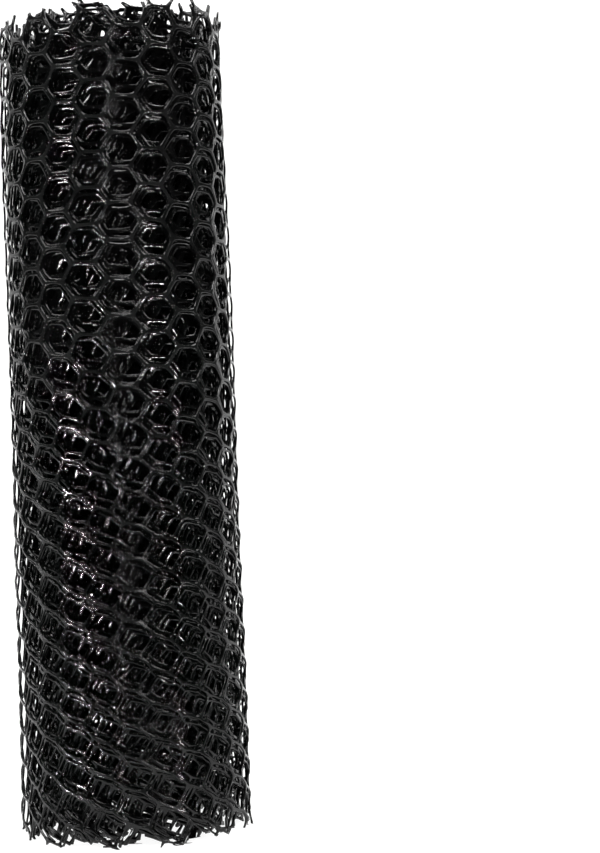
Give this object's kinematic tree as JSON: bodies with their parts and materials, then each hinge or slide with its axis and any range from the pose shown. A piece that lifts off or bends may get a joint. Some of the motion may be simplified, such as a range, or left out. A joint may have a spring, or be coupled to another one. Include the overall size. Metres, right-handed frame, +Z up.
{
  "type": "roll of cat balcony netting",
  "caption": "Upright roll of black extruded plastic netting with hexagonal cells, wound on itself around an open middle, with ragged cut ends.",
  "frame": {"origin": "middle of the roll's base, on the surface that it stands on", "axes": "+Z up along the roll's axis; -Y faces the viewer; the strip's outer end lies at the back left, and the strip winds inwards anticlockwise from it, seen from above"},
  "size_m": [0.1118, 0.1092, 0.4],
  "materials": {
    "black_plastic": "satin"
  },
  "bodies": {
    "root": {"net_roll": "black_plastic"}
  },
  "joints": []
}
